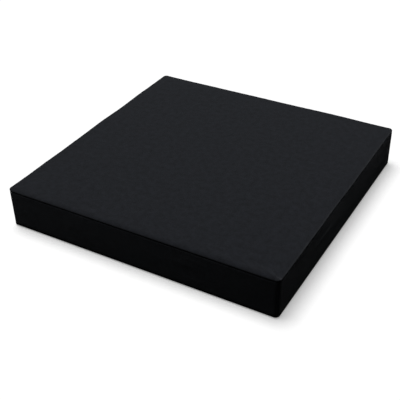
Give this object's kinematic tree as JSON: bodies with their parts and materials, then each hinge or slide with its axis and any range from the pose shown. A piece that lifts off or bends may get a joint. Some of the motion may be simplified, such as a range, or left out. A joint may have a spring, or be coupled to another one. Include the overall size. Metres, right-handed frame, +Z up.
{
  "type": "seat cushion",
  "caption": "Square boxed seat cushion: a zipped black fabric cover with a non-slip base over a lined slab of comfort and support foam.",
  "frame": {"origin": "middle of the underside, on the surface the cushion rests on", "axes": "+Z up out of the seat face, +Y towards the back face with the zip, +X to the right seen from the front"},
  "size_m": [0.4, 0.403, 0.06],
  "materials": {
    "cover_fabric": "matte black woven polyester",
    "grip_fabric": "black woven base cloth with printed non-slip dots",
    "thread": "black spun polyester sewing thread",
    "zip_tape": "black woven zip tape",
    "zip_nylon": "black nylon monofilament coil",
    "zip_metal": "black lacquered zinc",
    "label_satin": "blank white satin",
    "liner_knit": "off-white knitted liner",
    "support_foam": "firm open-cell polyurethane foam",
    "comfort_foam": "soft open-cell polyurethane foam"
  },
  "bodies": {
    "cushion": {"top_panel": "cover_fabric", "front_gusset": "cover_fabric", "left_gusset": "cover_fabric", "right_gusset": "cover_fabric", "rear_gusset_upper": "cover_fabric", "rear_gusset_lower": "cover_fabric", "zip_end_tab_left": "cover_fabric", "zip_end_tab_right": "cover_fabric", "base_panel": "grip_fabric", "zip_tape_upper": "zip_tape", "zip_tape_lower": "zip_tape", "zip_coil_upper": "zip_nylon", "zip_coil_lower": "zip_nylon", "zip_top_stop_upper": "zip_metal", "zip_top_stop_lower": "zip_metal", "zip_bottom_stop": "zip_metal", "zip_stitching_upper": "thread", "zip_stitching_lower": "thread", "top_seam_thread": "thread", "base_seam_thread": "thread", "corner_seam_thread_front_left": "thread", "corner_seam_thread_front_right": "thread", "corner_seam_thread_rear_left": "thread", "corner_seam_thread_rear_right": "thread", "care_label": "label_satin", "liner_lower": "liner_knit", "liner_upper": "liner_knit", "support_foam": "support_foam", "comfort_foam": "comfort_foam"},
    "slider": {"zip_slider": "zip_metal"},
    "pull_tab": {"zip_pull_tab": "zip_metal"}
  },
  "joints": [
    {"name": "zip_slide", "type": "slide", "parent": "cushion", "child": "slider", "axis": [-1, 0, 0], "range_m": [0, 0.344]},
    {"name": "pull_tab_hinge", "type": "hinge", "parent": "slider", "child": "pull_tab", "pos_m": [0.172, 0.20155, 0.0298], "axis": [0, 0, -1], "range_deg": [0, 180]}
  ]
}
